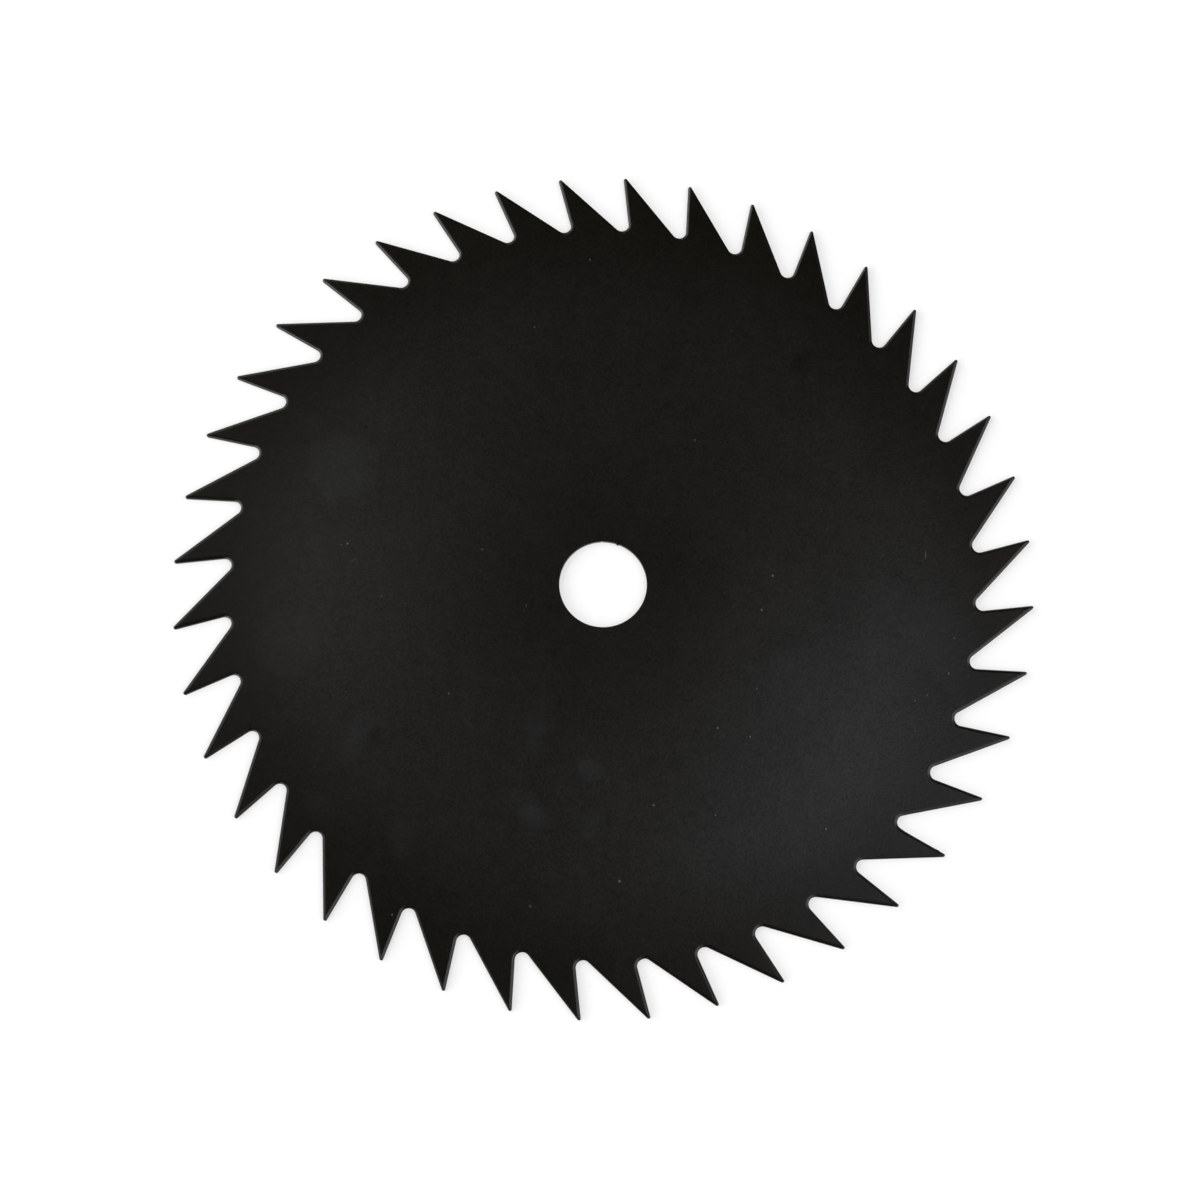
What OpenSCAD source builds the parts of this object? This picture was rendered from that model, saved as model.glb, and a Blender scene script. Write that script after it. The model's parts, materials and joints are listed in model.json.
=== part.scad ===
// Brush cutter blade: a flat steel disc with forty hooked saw teeth around a central bore.
// The blade lies on its lower face at z = 0, with the bore on the Z axis and one tooth tip on +X.
// The upper face is the side the punch entered, so its edges are rolled over. The lower edges are sharp.

/* [Plate] */
// Diameter over the tooth tips
outer_d = 250; // [220:5:280]
// Diameter of the bore
bore_d = 25.4; // [20:0.1:30]
// Thickness of the steel sheet
plate_t = 1.4; // [1.2:0.1:2.4]

/* [Teeth] */
// Number of teeth around the rim
tooth_count = 40; // [34:1:46]
// Hook of the cutting edge, measured from the radius through the tooth's nose
rake_angle = 9; // [4:1:14]
// Slope of the tooth's back, measured from the same radius
flank_angle = 41; // [38:1:46]
// Radius of the blunt nose
nose_r = 0.5; // [0.4:0.05:0.7]
// Radius of the round gullet between two teeth
gullet_r = 2.1; // [1.6:0.1:2.8]

/* [Rolled edges] */
// Radius of the rolled edge's curve, seen in section
roll_r = 1.1; // [1:0.05:1.4]
// Width of the rolled edge along the cutting edge
rake_roll = 0.8; // [0.6:0.05:0.9]
// Width of the rolled edge along the tooth's back
flank_roll = 0.5; // [0.4:0.05:0.6]
// Width of the rolled edge around the bore
bore_roll = 0.35; // [0.2:0.05:0.5]
// Width of the rounding at the front of the nose
nose_roll = 0.4; // [0.2:0.05:0.4]
// Depth of the rounding at the front of the nose
nose_drop = 0.14; // [0.04:0.02:0.14]

/* [Hidden] */
$fn = 96;

tip_r = outer_d / 2;
pitch = 360 / tooth_count;
// The round cuts are this much larger than the corners that they blend, so that they cross their walls
seam = 0.0005;
// How far the uncut disc reaches past the tips
rim_spare = 0.5;
// How far what cuts a rolled edge reaches into the air
air = 0.3;
// Slope at which a rolled edge leaves the upper face
roll_start = 6;
// How much wider the gullet's roll is than the two that it joins, so that they cross
roll_overlap = 0.05;

// A tooth's nose lies on its own radius, and its two walls are tangent to the nose
nose = [tip_r - nose_r - seam, 0];
// The next tooth's nose
next_nose = nose[0] * [cos(pitch), sin(pitch)];

// Direction of a wall's outward normal
rake_normal = [-sin(rake_angle), cos(rake_angle)];
next_flank_normal = [sin(flank_angle + pitch), -cos(flank_angle + pitch)];

// Point at which two lines meet, each given by its normal and its distance from the origin
function meet(n1, d1, n2, d2) =
    [d1 * n2[1] - d2 * n1[1], n1[0] * d2 - n2[0] * d1] / (n1[0] * n2[1] - n1[1] * n2[0]);

// The gullet is tangent to the cutting edge and to the next tooth's back
gullet = meet(
    rake_normal, rake_normal * nose + nose_r + gullet_r,
    next_flank_normal, next_flank_normal * next_nose + nose_r + gullet_r
);
// Angle between the two walls of a gap
gap_angle = flank_angle + pitch - rake_angle;
// Length that takes a gap's walls out past the tips
gap_len = 2 * (tip_r - norm(gullet));
// Length of the cutting edge and of the back, from the gullet's centre to beyond the nose
rake_len = (nose - gullet) * [cos(rake_angle), sin(rake_angle)] + nose_r + air;
flank_len = (next_nose - gullet) * [cos(flank_angle + pitch), sin(flank_angle + pitch)] + nose_r + air;

// The gullet's rolled edge narrows from the cutting edge to the back, so its centre is shifted
gullet_shift = (rake_roll - flank_roll) / (1 + cos(gap_angle));
gullet_roll_r = gullet_r + rake_roll - gullet_shift + roll_overlap;

// Puts its children at each tooth's place
module each_tooth() {
    for (i = [0 : tooth_count - 1])
        rotate([0, 0, i * pitch])
            children();
}

// Puts its children at a gullet's centre, with X along the cutting edge
module at_gullet() {
    translate([gullet[0], gullet[1], 0])
        rotate([0, 0, rake_angle])
            children();
}

// Outline of one gap between two teeth, with the gullet's centre at the origin
module gap() {
    flank_foot = gullet_r * [cos(90 + gap_angle), sin(90 + gap_angle)];
    flank_end = flank_foot + gap_len * [cos(gap_angle), sin(gap_angle)];
    polygon([[0, 0], [0, -gullet_r], [gap_len, -gullet_r], flank_end, flank_foot]);
    circle(r = gullet_r + seam);
}

// What the round nose takes off a tooth's sharp corner, with the nose's centre at the origin
module nose_cut() {
    from = flank_angle - 90;
    to = rake_angle + 90;
    reach = 5 * nose_r;
    difference() {
        polygon([
            [0, 0],
            reach * [cos(from), sin(from)],
            reach * [cos((from + to) / 2), sin((from + to) / 2)],
            reach * [cos(to), sin(to)]
        ]);
        circle(r = nose_r + seam);
    }
}

module outline() {
    difference() {
        circle(r = tip_r + rim_spare);
        circle(d = bore_d);
        each_tooth() {
            at_gullet() gap();
            translate(nose) nose_cut();
        }
    }
}

// Section of what a rolled edge takes away, for a roll this wide.
// X runs from the inner limit of the roll towards the wall, and y = 0 is the upper face.
module roll_section(width) {
    centre = -roll_r * [sin(roll_start), cos(roll_start)];
    difference() {
        translate(centre)
            square([width + air, air] - centre);
        translate(centre)
            circle(r = roll_r);
    }
}

// Straight rolled edge from start to end along X, for steel whose wall is at y = 0
module roll_run(width, start, end) {
    translate([start, -width, plate_t])
        rotate([90, 0, 90])
            linear_extrude(end - start)
                roll_section(width);
}

// Rolled edge of the cutting edge and of the gullet behind it
module rake_roll_cut() {
    translate([0, -gullet_r, 0])
        roll_run(rake_roll, 0, rake_len);
    translate([0, -gullet_shift, plate_t])
        rotate_extrude()
            translate([gullet_roll_r, 0])
                mirror([1, 0])
                    roll_section(rake_roll);
}

// Rolled edge of the next tooth's back
module flank_roll_cut() {
    rotate([0, 0, gap_angle])
        mirror([0, 1, 0])
            translate([0, -gullet_r, 0])
                roll_run(flank_roll, -gullet_shift * sin(gap_angle), flank_len);
}

// The sloped front of a nose, which lies between its two rolled edges
module nose_front() {
    translate([0, 0, plate_t])
        rotate([0, 0, flank_angle - 90])
            rotate_extrude(angle = 180 + rake_angle - flank_angle)
                translate([nose_r - nose_roll, 0])
                    polygon([[0, 0], [2 * nose_roll, -2 * nose_drop], [2 * nose_roll, air], [0, air]]);
}

module bore_edge() {
    translate([0, 0, plate_t])
        rotate_extrude()
            translate([bore_d / 2 + bore_roll, 0])
                mirror([1, 0])
                    roll_section(bore_roll);
}

// The plate with the rolled edges that are cut first, those of the bore, the cutting edges and the gullets
module plate() {
    difference() {
        linear_extrude(plate_t)
            outline();
        bore_edge();
        each_tooth() at_gullet() rake_roll_cut();
    }
}

module blade() {
    color([0.13, 0.13, 0.125])
        difference() {
            difference() {
                plate();
                each_tooth() at_gullet() flank_roll_cut();
            }
            each_tooth() translate(nose) nose_front();
        }
}

blade();
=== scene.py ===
import json
import math

import bmesh
import bpy
import numpy as np
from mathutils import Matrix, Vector
from mathutils.geometry import delaunay_2d_cdt


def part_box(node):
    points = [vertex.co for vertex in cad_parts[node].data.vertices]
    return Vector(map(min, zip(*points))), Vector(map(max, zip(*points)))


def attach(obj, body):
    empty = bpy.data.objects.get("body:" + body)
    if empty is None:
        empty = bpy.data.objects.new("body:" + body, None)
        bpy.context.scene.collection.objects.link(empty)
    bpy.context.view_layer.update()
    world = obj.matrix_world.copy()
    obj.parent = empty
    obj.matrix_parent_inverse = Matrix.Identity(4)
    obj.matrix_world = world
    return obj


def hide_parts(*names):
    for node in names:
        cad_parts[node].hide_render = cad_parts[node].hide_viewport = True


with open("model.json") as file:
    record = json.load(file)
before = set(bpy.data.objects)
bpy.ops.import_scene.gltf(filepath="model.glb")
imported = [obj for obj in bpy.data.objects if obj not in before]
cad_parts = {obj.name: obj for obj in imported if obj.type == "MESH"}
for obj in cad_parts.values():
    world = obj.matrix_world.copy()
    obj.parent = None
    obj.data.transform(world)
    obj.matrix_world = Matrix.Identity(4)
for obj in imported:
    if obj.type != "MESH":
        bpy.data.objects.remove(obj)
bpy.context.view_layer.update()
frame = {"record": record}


# The blade
# It is one disc of spring steel sheet, with the bore, the gullets and the forty teeth punched in a press.
# The punch went in from the upper side, so the upper edges are drawn down into rolls. The walls below them
# are smooth where the punch sheared the steel, and rough and slightly drawn back where it then broke.

# Sizes in this section are in millimetres, and a vertex is turned into metres when it is made
millimetre = 0.001
blade_low, blade_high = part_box("blade")
sheet = blade_high.z / millimetre
tip_radius = blade_high.x / millimetre
bore_mount = next(m for m in frame["record"]["mounts"] if m["name"] == "bore")
bore_radius = bore_mount["dims"]["r_mm"]
teeth = 40
pitch = 2 * math.pi / teeth
hook_angle = math.radians(9)
back_angle = math.radians(41)
nose_radius = 0.5
gullet_radius = 2.1

# A rolled edge is a round drawn down over its width: width, radius and the slope at which it leaves the face.
# That of the cutting edge is steep, and that of the back is nearly a flat bevel.
rake_roll = np.array([0.93, 1.0, math.radians(1)])
back_roll = np.array([0.82, 3.0, math.radians(9.7)])
bore_roll = np.array([0.3, 1.0, math.radians(1)])


def direction(angle):
    return np.stack([np.cos(angle), np.sin(angle)], axis=-1)


def roll_depth(roll, distance):
    """How far the punch has drawn the upper face down, at this distance in from the wall."""
    width, radius, start = np.moveaxis(roll, -1, 0)
    across = np.clip(width - distance, 0, width)
    slope = np.arcsin(across / radius + np.sin(start))
    return np.where(across > 0, radius * (np.cos(start) - np.cos(slope)), 0)


def roll_between(share):
    """The back's roll where share is 0 and the cutting edge's where it is 1. Curvatures are mixed, not radii."""
    mix = back_roll + (rake_roll - back_roll) * share[..., None]
    mix[..., 1] = 1 / (1 / back_roll[1] + (1 / rake_roll[1] - 1 / back_roll[1]) * share)
    return mix


# A tooth's nose lies on its own radius. Its cutting edge and its back are tangent to the nose,
# and the gullet is tangent to the cutting edge and to the next tooth's back.
nose = np.array([tip_radius - nose_radius, 0])
rake_way = direction(hook_angle)
rake_normal = direction(hook_angle + math.pi / 2)
back_way = direction(back_angle)
back_normal = direction(back_angle - math.pi / 2)
next_back_way = direction(back_angle + pitch)
next_back_normal = direction(back_angle + pitch - math.pi / 2)
next_nose = nose[0] * direction(pitch)
gullet = np.linalg.solve(
    np.array([rake_normal, next_back_normal]),
    np.array([rake_normal @ nose, next_back_normal @ next_nose]) + nose_radius + gullet_radius,
)
rake_length = (nose - gullet) @ rake_way
back_length = (next_nose - gullet) @ next_back_way

# The rings of the mesh follow the wall inwards as far as this, and meet on the line that halves a tooth
strip_end = 1.0
half_tip = (back_angle - hook_angle) / 2
strip_meets = (strip_end - nose_radius) / math.tan(half_tip)
near_nose = np.array([0.1, 0.24, 0.42, 0.66, 0.95, 1.3, strip_meets])
step_along = 0.62


def along(length):
    """Distances along a wall from the nose to the gullet, closer together near the nose."""
    count = round((length - strip_meets) / step_along)
    return np.concatenate([near_nose, np.linspace(strip_meets, length, count + 1)[1:]])


def tooth_wall():
    """One tooth's wall: points, outward normals, rolls, inward room, and which are the gullet's."""
    back = along(back_length)[::-1, None]
    rake = along(rake_length)[:, None]
    nose_turn = np.linspace(back_angle - math.pi / 2, hook_angle + math.pi / 2, 11)
    gullet_turn = np.linspace(hook_angle + math.pi / 2, back_angle + pitch - math.pi / 2, 17)[1:-1]
    nose_share = np.linspace(0, 1, len(nose_turn))
    gullet_share = (1 + np.cos(np.linspace(0, math.pi, len(gullet_turn) + 2)[1:-1])) / 2
    points = [
        nose + nose_radius * back_normal - back * back_way,
        nose + nose_radius * direction(nose_turn),
        nose + nose_radius * rake_normal - rake * rake_way,
        gullet - gullet_radius * direction(gullet_turn),
    ]
    normals = [
        np.tile(back_normal, (len(back), 1)),
        direction(nose_turn),
        np.tile(rake_normal, (len(rake), 1)),
        direction(gullet_turn),
    ]
    rolls = [
        np.tile(back_roll, (len(back), 1)),
        roll_between(nose_share),
        np.tile(rake_roll, (len(rake), 1)),
        roll_between(gullet_share),
    ]
    room = [
        nose_radius + back[:, 0] * math.tan(half_tip),
        np.full(len(nose_turn), nose_radius),
        nose_radius + rake[:, 0] * math.tan(half_tip),
        np.full(len(gullet_turn), np.inf),
    ]
    in_gullet = np.repeat([False, False, False, True], [len(p) for p in points])
    joined = [np.concatenate(part) for part in (points, normals, rolls, room)]
    return *joined, in_gullet


wall_points, wall_normals, wall_rolls, wall_room, wall_in_gullet = tooth_wall()


def tooth_depth(points, distance):
    """Depth of the rolls at points that lie this far in from one tooth's wall."""
    at = points - nose
    out = np.linalg.norm(at, axis=1)
    turn = np.arctan2(at[:, 1], at[:, 0])
    first = back_angle - math.pi / 2
    last = hook_angle + math.pi / 2
    at_nose = (turn > first) & (turn < last) & (out > 0)
    nose_roll = roll_between(np.clip((turn - first) / (last - first), 0, 1))
    depth = np.maximum(
        roll_depth(rake_roll, nose_radius - at @ rake_normal),
        roll_depth(back_roll, nose_radius - at @ back_normal),
    )
    depth = np.where(at_nose, np.maximum(depth, roll_depth(nose_roll, nose_radius - out)), depth)
    return np.where(wall_in_gullet, roll_depth(wall_rolls, distance), depth)


# Flaws that the photograph shows on the cut edges: place on the blade, height above the wall, half width.
# The first two are at the bore, then a burr and a bulge on two cutting edges, and a ragged gullet.
flaws = [
    ((3.6, 12.2), 0.3, 0.35),
    ((-1.0, 12.7), -0.14, 0.3),
    ((99.3, -71.6), 0.22, 0.4),
    ((88.2, -66.5), 0.16, 1.2),
    ((16.9, -107.7), 0.2, 0.8),
]


def flawed(points, normals):
    for place, height, spread in flaws:
        away = np.linalg.norm(points - np.array(place), axis=1)
        points = points + normals * (height * np.exp(-((away / spread) ** 2)))[:, None]
    return points


def upper_rings(width, corner=0.05):
    """Distances in from the wall, and extra depth, for the rings that make up a rolled edge."""
    shares = np.array([0.16, 0.28, 0.4, 0.52, 0.64, 0.76, 0.88, 1.0])
    rings = [(0 * width, corner), (0.25 * corner + 0 * width, 0.25 * corner), (corner + 0 * width, 0)]
    rings += [(share * width, 0) for share in shares]
    rings += [(width + 0.04, 0), (np.maximum(width + 0.04, strip_end), 0)]
    return rings


# Height on the wall where the shear ends and the break starts, and how far the break is drawn back
break_height = 0.5
break_depth = 0.03
lower_corner = 0.05
break_noise = np.random.default_rng(7)


def edge_rings(points, normals, width, depth_of, room):
    """Rings of vertices from the lower face round the wall and over the roll to the upper face."""
    cut = flawed(points, normals)
    rings = [
        np.column_stack([cut - normals * lower_corner, np.zeros(len(cut))]),
        np.column_stack([cut - normals * 0.3 * lower_corner, np.full(len(cut), 0.3 * lower_corner)]),
    ]
    for height, drawn_back in [(lower_corner, 0.5), (0.25, 1.0), (0.45, 0.8), (break_height, 0.3)]:
        rough = break_depth * drawn_back * break_noise.uniform(0.4, 1.0, len(points))
        rings.append(np.column_stack([cut - normals * rough[:, None], np.full(len(cut), height)]))
    for ring, (distance, extra) in enumerate(upper_rings(width)):
        distance = np.minimum(distance, room)
        inner = points - normals * distance[:, None]
        level = sheet - depth_of(inner, distance) - extra
        inner = inner + (cut - points) * (1 - distance / np.minimum(room, strip_end))[:, None]
        if ring == 0:
            rings.append(np.column_stack([inner, np.full(len(points), break_height + 0.03)]))
        rings.append(np.column_stack([inner, level]))
    return rings


def turned(vectors, angle):
    cosine, sine = math.cos(angle), math.sin(angle)
    return vectors @ np.array([[cosine, sine], [-sine, cosine]])


def add_rings(build, rings, wall_upto):
    """Joins rings of vertices by faces, the first few of them as wall."""
    rows = [[build.verts.new(Vector(v) * millimetre) for v in ring] for ring in rings]
    for number, (low, high) in enumerate(zip(rows, rows[1:])):
        for i in range(len(low)):
            j = (i + 1) % len(low)
            face = build.faces.new((low[i], low[j], high[j], high[i]))
            face.material_index = 1 if number < wall_upto else 0
    return rows


def add_flat(build, outer, inner, height, faces_up):
    """Fills the flat face between the rim's ring and the bore's ring."""
    spacing = 5.0
    reach = np.arange(-tip_radius, tip_radius, spacing)
    across, up = np.meshgrid(reach, reach * math.sqrt(3) / 2)
    across = across + np.where(np.arange(len(reach)) % 2, spacing / 2, 0)[:, None]
    spread = np.column_stack([across.ravel(), up.ravel()])
    out = np.linalg.norm(spread, axis=1)
    root = np.linalg.norm(gullet) - gullet_radius
    spread = spread[(out < root - 2.5) & (out > bore_radius + 2.5)]
    points = np.concatenate([outer, inner, spread])
    edges = [(i, (i + 1) % len(outer)) for i in range(len(outer))]
    edges += [(len(outer) + i, len(outer) + (i + 1) % len(inner)) for i in range(len(inner))]
    inside = 1
    found = delaunay_2d_cdt([Vector(p) for p in points], edges, [], inside, 1e-7)
    verts = {}
    bore_turns = np.arctan2(inner[:, 1], inner[:, 0])
    bore_edge = np.linalg.norm(inner, axis=1)
    for corners in found[2]:
        middle = sum((found[0][i] for i in corners), Vector((0, 0))) / 3
        turn = math.atan2(middle.y, middle.x)
        if middle.length < np.interp(turn, bore_turns, bore_edge, period=2 * math.pi):
            continue
        for i in corners:
            if i not in verts:
                verts[i] = build.verts.new(Vector((*found[0][i], height)) * millimetre)
        order = corners if faces_up else corners[::-1]
        build.faces.new([verts[i] for i in order])


build = bmesh.new()
tooth_rings = []
for tooth in range(teeth):
    angle = tooth * pitch
    around = turned(wall_points, angle)
    facing = turned(wall_normals, angle)

    def depth_here(points, distance, angle=angle):
        return tooth_depth(turned(points, -angle), distance)

    tooth_rings.append(edge_rings(around, facing, wall_rolls[:, 0], depth_here, wall_room))
rim_rings = [np.concatenate([rings[k] for rings in tooth_rings]) for k in range(len(tooth_rings[0]))]
wall_rings = 7
add_rings(build, rim_rings, wall_rings)

bore_turn = np.linspace(0, -2 * math.pi, 360, endpoint=False)
bore_rolls = np.tile(bore_roll, (len(bore_turn), 1))
bore_rings = edge_rings(
    bore_radius * direction(bore_turn),
    -direction(bore_turn),
    bore_rolls[:, 0],
    lambda points, distance: roll_depth(bore_rolls, distance),
    np.full(len(bore_turn), np.inf),
)
add_rings(build, bore_rings, wall_rings)

strip_ends = np.tile(wall_room >= strip_end - 1e-9, teeth)
add_flat(build, rim_rings[-1][strip_ends, :2], bore_rings[-1][:, :2], sheet, True)
add_flat(build, rim_rings[0][:, :2], bore_rings[0][:, :2], 0.0, False)
bmesh.ops.remove_doubles(build, verts=build.verts, dist=2e-7)
bmesh.ops.dissolve_degenerate(build, edges=build.edges, dist=1e-7)
sharp_above = math.radians(40)
for edge in build.edges:
    edge.smooth = edge.calc_face_angle(0) < sharp_above
for face in build.faces:
    face.smooth = True
blade_mesh = bpy.data.meshes.new("blade_disc")
build.to_mesh(blade_mesh)
build.free()
blade = bpy.data.objects.new("blade_disc", blade_mesh)
bpy.context.scene.collection.objects.link(blade)
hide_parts("blade")
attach(blade, "root")


# The coat
# The whole disc is black all over: a thin matt coat that was burnt on over bare steel. It has a fine grain,
# reflects less towards the rim and round the bore, which makes the face darker there, and has taken a few
# smudges and specks of dust.


def new_material(name):
    made = bpy.data.materials.new(name)
    made.use_nodes = True
    made.node_tree.nodes.clear()
    return made, made.node_tree.nodes, made.node_tree.links


def new_group(name, inputs, outputs):
    """An empty node group, with its sockets given as (name, kind, default)."""
    made = bpy.data.node_groups.new(name, "ShaderNodeTree")
    for socket, kind, default in inputs:
        made_socket = made.interface.new_socket(socket, in_out="INPUT", socket_type=kind)
        if default is not None:
            made_socket.default_value = default
    for socket, kind in outputs:
        made.interface.new_socket(socket, in_out="OUTPUT", socket_type=kind)
    given = made.nodes.new("NodeGroupInput")
    wanted = made.nodes.new("NodeGroupOutput")
    return made, made.nodes, made.links, given, wanted


def sum_up(nodes, links, operation, first, second, third=None):
    """A math node. Each input is a socket or a number."""
    node = nodes.new("ShaderNodeMath")
    node.operation = operation
    for slot, value in enumerate((first, second, third)):
        if value is None:
            continue
        if isinstance(value, (int, float)):
            node.inputs[slot].default_value = value
        else:
            links.new(value, node.inputs[slot])
    return node.outputs[0]


def noise(nodes, links, position, scale, detail=2.0, roughness=0.5):
    node = nodes.new("ShaderNodeTexNoise")
    node.inputs["Scale"].default_value = scale
    node.inputs["Detail"].default_value = detail
    node.inputs["Roughness"].default_value = roughness
    links.new(position, node.inputs["Vector"])
    return node.outputs["Fac"]


def ramp(nodes, links, value, start, end, low=0.0, high=1.0, smooth=True):
    """Low up to start, high from end, and a smooth change between them."""
    node = nodes.new("ShaderNodeMapRange")
    node.interpolation_type = "SMOOTHSTEP" if smooth else "LINEAR"
    for socket, number in [("From Min", start), ("From Max", end), ("To Min", low), ("To Max", high)]:
        node.inputs[socket].default_value = number
    links.new(value, node.inputs["Value"])
    return node.outputs["Result"]


# Grain of the coat: tone near 1, roughness to add, and height in millimetres, from a place in millimetres
grain, nodes, links, given, wanted = new_group(
    "coat grain",
    [("Place", "NodeSocketVector", None), ("Strength", "NodeSocketFloat", 1.0)],
    [("Tone", "NodeSocketFloat"), ("Roughness", "NodeSocketFloat"), ("Height", "NodeSocketFloat")],
)
place = given.outputs["Place"]
fine = sum_up(nodes, links, "SUBTRACT", noise(nodes, links, place, 1.7, 3.0, 0.6), 0.5)
blotch = sum_up(nodes, links, "SUBTRACT", noise(nodes, links, place, 0.22, 2.0), 0.5)
cloud = sum_up(nodes, links, "SUBTRACT", noise(nodes, links, place, 0.035, 2.0), 0.5)
middling = sum_up(nodes, links, "SUBTRACT", noise(nodes, links, place, 0.6, 2.0), 0.5)
points = ramp(nodes, links, noise(nodes, links, place, 1.2, 1.0), 0.74, 0.86)
tone = sum_up(nodes, links, "MULTIPLY_ADD", fine, 1.75, 1.0)
tone = sum_up(nodes, links, "MULTIPLY_ADD", middling, 0.42, tone)
tone = sum_up(nodes, links, "MULTIPLY_ADD", points, 1.2, tone)
tone = sum_up(nodes, links, "MULTIPLY_ADD", blotch, 0.3, tone)
tone = sum_up(nodes, links, "MULTIPLY_ADD", cloud, 0.25, tone)
tone = sum_up(nodes, links, "SUBTRACT", tone, 1.0)
links.new(
    sum_up(nodes, links, "MULTIPLY_ADD", tone, given.outputs["Strength"], 1.0), wanted.inputs["Tone"]
)
shine = sum_up(nodes, links, "MULTIPLY", fine, 0.05)
shine = sum_up(nodes, links, "MULTIPLY_ADD", blotch, 0.04, shine)
shine = sum_up(nodes, links, "MULTIPLY_ADD", cloud, 0.06, shine)
links.new(sum_up(nodes, links, "MULTIPLY", shine, given.outputs["Strength"]), wanted.inputs["Roughness"])
links.new(sum_up(nodes, links, "MULTIPLY", fine, 0.08), wanted.inputs["Height"])

# One soft-edged mark: a mask that is 1 in the middle of an oval and 0 outside it
mark, nodes, links, given, wanted = new_group(
    "soft mark",
    [
        ("Place", "NodeSocketVector", None),
        ("Middle", "NodeSocketVector", None),
        ("Turn", "NodeSocketVector", None),
        ("Half size", "NodeSocketVector", None),
        ("Core", "NodeSocketFloat", 0.2),
    ],
    [("Mask", "NodeSocketFloat")],
)
moved = nodes.new("ShaderNodeMapping")
moved.vector_type = "TEXTURE"
links.new(given.outputs["Place"], moved.inputs["Vector"])
links.new(given.outputs["Middle"], moved.inputs["Location"])
links.new(given.outputs["Turn"], moved.inputs["Rotation"])
links.new(given.outputs["Half size"], moved.inputs["Scale"])
reach = nodes.new("ShaderNodeVectorMath")
reach.operation = "LENGTH"
links.new(moved.outputs[0], reach.inputs[0])
fade = nodes.new("ShaderNodeMapRange")
fade.interpolation_type = "SMOOTHSTEP"
fade.inputs["From Max"].default_value = 1.0
fade.inputs["To Min"].default_value = 1.0
fade.inputs["To Max"].default_value = 0.0
links.new(given.outputs["Core"], fade.inputs["From Min"])
links.new(reach.outputs["Value"], fade.inputs["Value"])
links.new(fade.outputs["Result"], wanted.inputs["Mask"])


def place_in_millimetres(nodes, links):
    where = nodes.new("ShaderNodeTexCoord")
    scaled = nodes.new("ShaderNodeVectorMath")
    scaled.operation = "SCALE"
    scaled.inputs["Scale"].default_value = 1 / millimetre
    links.new(where.outputs["Object"], scaled.inputs[0])
    return scaled.outputs[0]


def add_mark(nodes, links, position, middle, half, turn=0.0, core=0.1):
    node = nodes.new("ShaderNodeGroup")
    node.node_tree = mark
    links.new(position, node.inputs["Place"])
    node.inputs["Middle"].default_value = (*middle, sheet)
    node.inputs["Turn"].default_value = (0, 0, math.radians(turn))
    node.inputs["Half size"].default_value = (*half, 1.0)
    node.inputs["Core"].default_value = core
    return node.outputs["Mask"]


def add_grain(nodes, links, position, strength=1.0):
    node = nodes.new("ShaderNodeGroup")
    node.node_tree = grain
    links.new(position, node.inputs["Place"])
    node.inputs["Strength"].default_value = strength
    return node.outputs["Tone"], node.outputs["Roughness"], node.outputs["Height"]


def scaled_colour(nodes, links, colour, value):
    """A colour multiplied by a value. The colour is a socket or four numbers."""
    node = nodes.new("ShaderNodeVectorMath")
    node.operation = "SCALE"
    if isinstance(colour, tuple):
        node.inputs[0].default_value = colour[:3]
    else:
        links.new(colour, node.inputs[0])
    links.new(value, node.inputs["Scale"])
    return node.outputs[0]


def mixed(nodes, links, share, first, second):
    """The first colour where share is 0 and the second where it is 1."""
    node = nodes.new("ShaderNodeMix")
    node.data_type = "RGBA"
    links.new(share, node.inputs["Factor"])
    for socket, colour in ((6, first), (7, second)):
        if isinstance(colour, tuple):
            node.inputs[socket].default_value = colour
        else:
            links.new(colour, node.inputs[socket])
    return node.outputs[2]


black = (0.0040, 0.0035, 0.0021, 1)
smudge_blue = (0.0102, 0.0107, 0.0116, 1)
haze = (0.0105, 0.0105, 0.0102, 1)
dust = (0.17, 0.165, 0.14, 1)
coat_roughness = 0.25

# Smudges that fingers left: middle, half size, turn, share that is full, strength
smudges = [
    ((-68.6, -48.3), (5.0, 11.5), -24, 0.1, 0.5),
    ((-36.4, -41.5), (2.6, 6.5), 18, 0.1, 0.3),
    ((-16.7, -44.5), (3.8, 8.0), 0, 0.2, 0.4),
    ((-13.9, -40.0), (1.4, 7.5), 22, 0.1, 0.25),
    ((-18.4, -65.5), (4.8, 7.6), 24, 0.3, 0.5),
    ((-16.2, -69.0), (6.6, 5.4), 0, 0.3, 0.42),
    ((-1.0, -54.5), (5.4, 5.2), -20, 0.3, 0.65),
    ((0.6, -70.3), (5.2, 7.6), 0, 0.2, 0.35),
    ((-53.1, -76.1), (5.6, 9.0), 0, 0.2, 0.35),
    ((-78.1, -68.1), (6.0, 6.0), 0, 0.2, 0.25),
]
# Pale rings and hazes of the same kind, without colour
hazes = [
    ((-78.5, 30.8), (13.0, 13.4), 0, 0.45, 0.55),
    ((-90.1, -22.1), (11.0, 11.0), 0, 0.7, 0.27),
    ((57.4, -26.5), (15.0, 13.0), 0, 0.3, 0.25),
    ((98.0, -10.0), (12.0, 22.0), 25, 0.2, 0.3),
]
# Places where the coat has stayed darker
dark_marks = [
    ((96.0, -24.0), (4.0, 11.0), 47, 0.0, 0.22),
    ((54.7, 70.2), (6.0, 5.0), 0, 0.1, 0.3),
    ((-62.9, -48.0), (2.4, 4.8), 20, 0.1, 0.28),
    ((-10.0, 98.0), (9.0, 5.0), 0, 0.1, 0.15),
]
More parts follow.
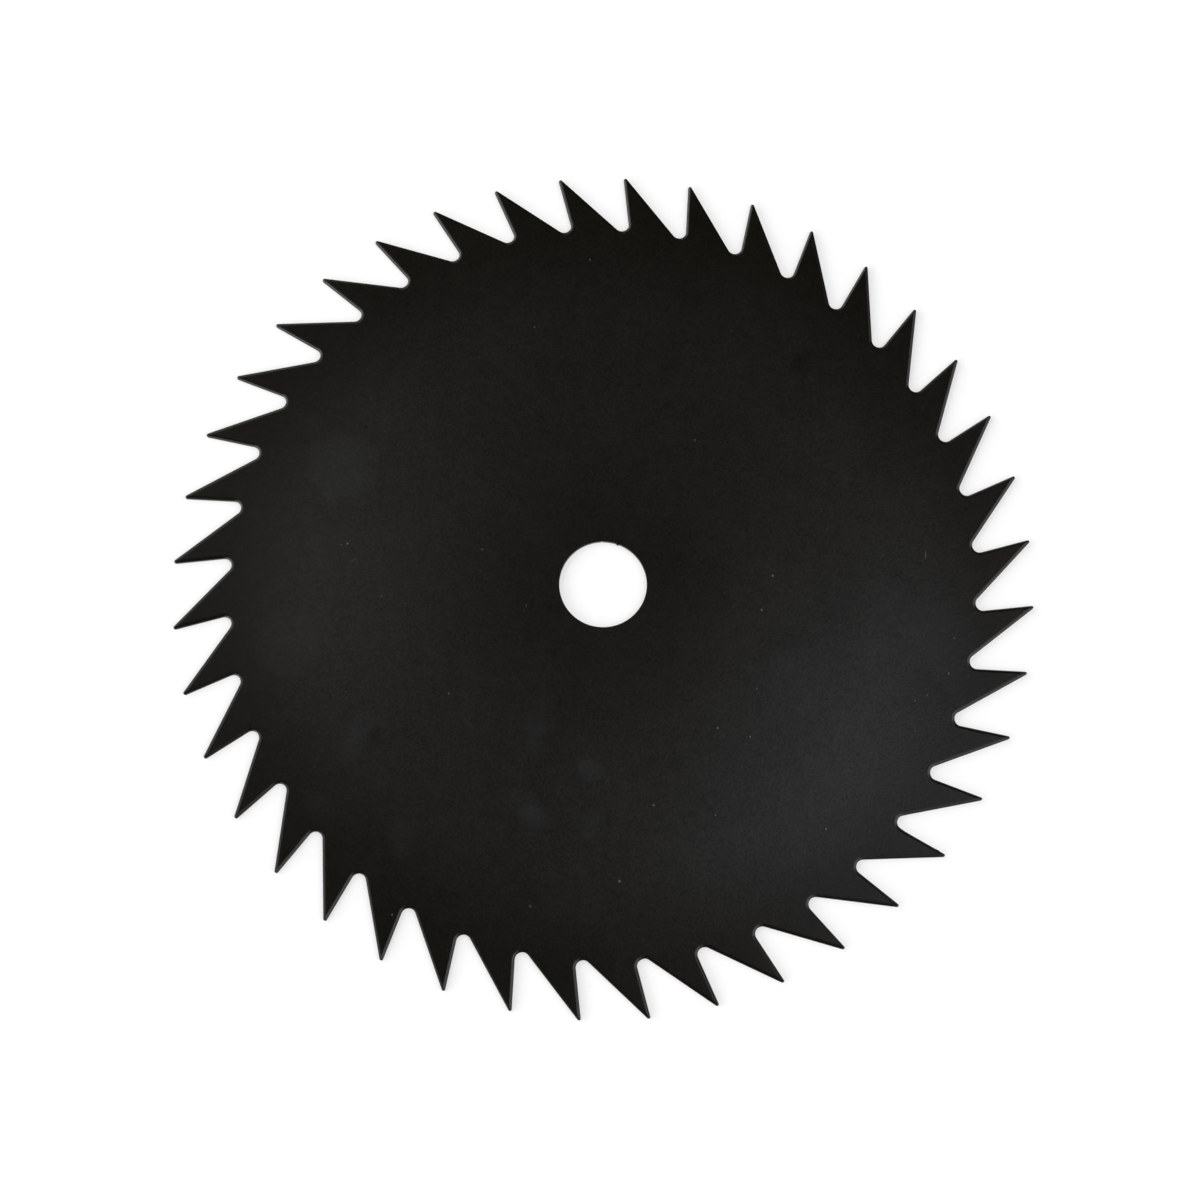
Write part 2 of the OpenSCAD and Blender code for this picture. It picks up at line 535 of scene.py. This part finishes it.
# Specks of dust: middle, half size, strength
specks = [
    ((9.3, -85.6), 0.55, 0.38),
    ((49.1, 5.2), 0.5, 0.4),
    ((46.3, -5.1), 0.5, 0.26),
    ((-75.0, 8.0), 0.45, 0.4),
    ((17.9, -63.5), 0.42, 0.42),
    ((35.1, -40.3), 0.42, 0.4),
    ((44.5, -42.3), 0.35, 0.46),
    ((-15.5, -94.0), 0.38, 0.36),
    ((100.9, -20.8), 0.4, 0.36),
    ((67.2, -67.6), 0.35, 0.53),
    ((-54.3, -98.5), 0.33, 0.5),
    ((24.6, 44.7), 0.36, 0.3),
    ((45.9, -28.3), 0.36, 0.28),
    ((-9.3, 98.7), 0.4, 0.24),
    ((-24.5, 76.8), 0.38, 0.25),
    ((-42.6, -34.5), 0.35, 0.4),
    ((-35.7, 8.4), 0.4, 0.22),
    ((35.6, -65.4), 0.33, 0.35),
    ((102.3, -10.4), 0.35, 0.35),
    ((94.9, -27.5), 0.3, 0.35),
    ((91.5, -29.3), 0.33, 0.35),
    ((91.8, -38.1), 0.3, 0.25),
    ((-63.9, -7.0), 0.3, 0.3),
    ((-76.8, 7.6), 0.33, 0.2),
]
# Short pale scratches: middle, half size, turn, strength
scratches = [
    ((-72.8, 3.2), (0.2, 1.3), -52, 0.12),
    ((-21.9, -7.6), (0.22, 0.8), -8, 0.16),
    ((-22.4, -8.9), (0.2, 0.5), -55, 0.14),
    ((93.3, 13.7), (0.25, 1.6), 0, 0.25),
]


def coat_over(name, roughness, grain_strength, marked, bump):
    """The black coat as it lies on one kind of surface."""
    made, nodes, links = new_material(name)
    position = place_in_millimetres(nodes, links)
    tone, rougher, height = add_grain(nodes, links, position, grain_strength)
    flat = nodes.new("ShaderNodeVectorMath")
    flat.operation = "MULTIPLY"
    flat.inputs[1].default_value = (1, 1, 0)
    links.new(position, flat.inputs[0])
    out = nodes.new("ShaderNodeVectorMath")
    out.operation = "LENGTH"
    links.new(flat.outputs[0], out.inputs[0])
    # The coat's shine falls off round the bore and towards the rim, which makes the face darker there
    middle = ramp(nodes, links, out.outputs["Value"], bore_radius, 58.0, 0.64, 1.0)
    rim = ramp(nodes, links, out.outputs["Value"], 78.0, 116.0, 1.0, 0.46)
    shine = sum_up(nodes, links, "MULTIPLY", middle, rim)
    shine = sum_up(nodes, links, "MULTIPLY_ADD", shine, 1.375, -0.55)
    shine = sum_up(nodes, links, "MULTIPLY", shine, tone)
    colour = scaled_colour(nodes, links, black, tone)
    rough = sum_up(nodes, links, "ADD", rougher, roughness)
    if marked:
        ragged = nodes.new("ShaderNodeTexNoise")
        ragged.inputs["Scale"].default_value = 0.2
        links.new(position, ragged.inputs["Vector"])
        off = nodes.new("ShaderNodeVectorMath")
        off.operation = "MULTIPLY_ADD"
        off.inputs[1].default_value = (7, 7, 0)
        off.inputs[2].default_value = (-3.5, -3.5, 0)
        links.new(ragged.outputs["Color"], off.inputs[0])
        shaken = nodes.new("ShaderNodeVectorMath")
        shaken.operation = "ADD"
        links.new(position, shaken.inputs[0])
        links.new(off.outputs[0], shaken.inputs[1])
        for kind, tint in ((smudges, smudge_blue), (hazes, haze), (dark_marks, None)):
            share = 0.0
            for at, half, turn, core, strength in kind:
                mask = add_mark(nodes, links, shaken.outputs[0], at, half, turn, core)
                share = sum_up(nodes, links, "MULTIPLY_ADD", mask, strength, share)
            if tint is not None:
                colour = mixed(nodes, links, share, colour, tint)
            else:
                left = sum_up(nodes, links, "SUBTRACT", 1.0, share)
                colour = scaled_colour(nodes, links, colour, left)
                shine = sum_up(nodes, links, "MULTIPLY", shine, left)
        share = 0.0
        for at, half, strength in specks:
            mask = add_mark(nodes, links, position, at, (half, half), core=0.3)
            share = sum_up(nodes, links, "MULTIPLY_ADD", mask, strength, share)
        for at, half, turn, strength in scratches:
            mask = add_mark(nodes, links, position, at, half, turn, core=0.3)
            share = sum_up(nodes, links, "MULTIPLY_ADD", mask, strength, share)
        colour = mixed(nodes, links, share, colour, dust)
        rough = sum_up(nodes, links, "MULTIPLY_ADD", share, 0.4, rough)
    surface = nodes.new("ShaderNodeBsdfPrincipled")
    surface.inputs["Specular IOR Level"].default_value = 0.28
    surface.inputs["Coat Roughness"].default_value = coat_roughness
    links.new(shine, surface.inputs["Coat Weight"])
    links.new(colour, surface.inputs["Base Color"])
    links.new(rough, surface.inputs["Roughness"])
    raised = nodes.new("ShaderNodeBump")
    raised.inputs["Strength"].default_value = bump
    raised.inputs["Distance"].default_value = millimetre
    links.new(height, raised.inputs["Height"])
    links.new(raised.outputs["Normal"], surface.inputs["Normal"])
    output = nodes.new("ShaderNodeOutputMaterial")
    links.new(surface.outputs["BSDF"], output.inputs["Surface"])
    return made


blade_mesh.materials.append(coat_over("black coat", coat_roughness, 1.0, True, 0.4))
blade_mesh.materials.append(coat_over("black coat on the cut walls", 0.42, 1.6, False, 1.0))


# The floor
# It is a sheet of white card, much larger than the view. It takes the blade's faint shadow, and what the
# lamps leave short of white is made up for where the camera or a reflection sees it.
floor_half = 12.0
floor_z = -0.00005
floor_mesh = bpy.data.meshes.new("floor")
floor_mesh.from_pydata(
    [(x * floor_half, y * floor_half, floor_z) for x, y in [(-1, -1), (1, -1), (1, 1), (-1, 1)]],
    [],
    [(0, 1, 2, 3)],
)
floor = bpy.data.objects.new("floor", floor_mesh)
bpy.context.scene.collection.objects.link(floor)

card, nodes, links = new_material("white card")
card_white = 0.5
card_glow = 0.52
diffuse = nodes.new("ShaderNodeBsdfDiffuse")
diffuse.inputs["Color"].default_value = (card_white, card_white, card_white, 1)
glow = nodes.new("ShaderNodeEmission")
seen_by = nodes.new("ShaderNodeLightPath")
seen = nodes.new("ShaderNodeMath")
seen.operation = "MAXIMUM"
seen_more = nodes.new("ShaderNodeMath")
seen_more.operation = "MAXIMUM"
strength = nodes.new("ShaderNodeMath")
strength.operation = "MULTIPLY"
strength.inputs[1].default_value = card_glow
links.new(seen_by.outputs["Is Camera Ray"], seen.inputs[0])
links.new(seen_by.outputs["Is Glossy Ray"], seen.inputs[1])
links.new(seen.outputs[0], seen_more.inputs[0])
links.new(seen_by.outputs["Is Transmission Ray"], seen_more.inputs[1])
links.new(seen_more.outputs[0], strength.inputs[0])
links.new(strength.outputs[0], glow.inputs["Strength"])
both = nodes.new("ShaderNodeAddShader")
links.new(diffuse.outputs[0], both.inputs[0])
links.new(glow.outputs[0], both.inputs[1])
# From below the card is left out, so that the blade's lower face can be seen
below = nodes.new("ShaderNodeNewGeometry")
clear = nodes.new("ShaderNodeBsdfTransparent")
either = nodes.new("ShaderNodeMixShader")
links.new(below.outputs["Backfacing"], either.inputs[0])
links.new(both.outputs[0], either.inputs[1])
links.new(clear.outputs[0], either.inputs[2])
output = nodes.new("ShaderNodeOutputMaterial")
links.new(either.outputs[0], output.inputs["Surface"])
floor_mesh.materials.append(card)


# The lamps
# A wide, low softbox stands at the left of the blade, as the camera sees it, with a second above it, and a
# third is at the right. Two small lamps are nearly overhead. The room around is dim.
photo_turn = math.radians(3.12)


lamp_level = 0.745
lamp_distance = 4.0


def softbox(name, side, elevation, half_width, half_height, radiance, tint=(1, 1, 1)):
    """A flat lamp that faces the blade. Its side is measured from the photograph's right."""
    lamp = bpy.data.lights.new(name, "AREA")
    lamp.shape = "RECTANGLE"
    lamp.size = 2 * half_width * lamp_distance
    lamp.size_y = 2 * half_height * lamp_distance
    lamp.energy = lamp_level * radiance * math.pi * lamp.size * lamp.size_y
    lamp.color = tint
    placed = bpy.data.objects.new(name, lamp)
    flat = direction(math.radians(side) + photo_turn) * math.cos(math.radians(elevation))
    placed.location = Vector((flat[0], flat[1], math.sin(math.radians(elevation)))) * lamp_distance
    placed.rotation_euler = placed.location.to_track_quat("Z", "Y").to_euler()
    placed.visible_camera = False
    bpy.context.scene.collection.objects.link(placed)


softbox("left_softbox", 187.4, 15.5, 2.05, 0.277, 6.3)
softbox("left_upper_softbox", 158.5, 46.4, 1.52, 0.21, 2.4)
softbox("right_softbox", 343.5, 35.8, 0.56, 0.72, 2.9)
softbox("left_top_lamp", 133.0, 73.2, 0.05, 0.06, 2.0)
softbox("right_top_lamp", 16.0, 76.4, 0.05, 0.09, 4.2, (0.96, 0.99, 1.08))

world = bpy.data.worlds.new("dim_room")
bpy.context.scene.world = world
world.use_nodes = True
room = world.node_tree.nodes["Background"]
room.inputs["Color"].default_value = (1, 1, 1, 1)
room_light = 0.02
nodes, links = world.node_tree.nodes, world.node_tree.links
seen_by = nodes.new("ShaderNodeLightPath")
level = nodes.new("ShaderNodeMapRange")
level.inputs["To Min"].default_value = room_light
links.new(seen_by.outputs["Is Camera Ray"], level.inputs["Value"])
links.new(level.outputs["Result"], room.inputs["Strength"])


# The camera
# It looks down at the blade from a little below it in the picture.
lens_scale = 71.77
camera_data = bpy.data.cameras.new("camera")
camera_data.sensor_width = 36
camera_data.lens = lens_scale
camera_data.clip_start = 0.01
camera_data.clip_end = 100
camera = bpy.data.objects.new("camera", camera_data)
beside, behind = -0.00138, -0.14375
camera.location = (
    beside * math.cos(photo_turn) - behind * math.sin(photo_turn),
    beside * math.sin(photo_turn) + behind * math.cos(photo_turn),
    0.6811,
)
camera.rotation_euler = (math.radians(11.562), math.radians(-0.042), photo_turn)
bpy.context.scene.collection.objects.link(camera)
bpy.context.scene.camera = camera
bpy.context.scene.view_settings.view_transform = "Standard"
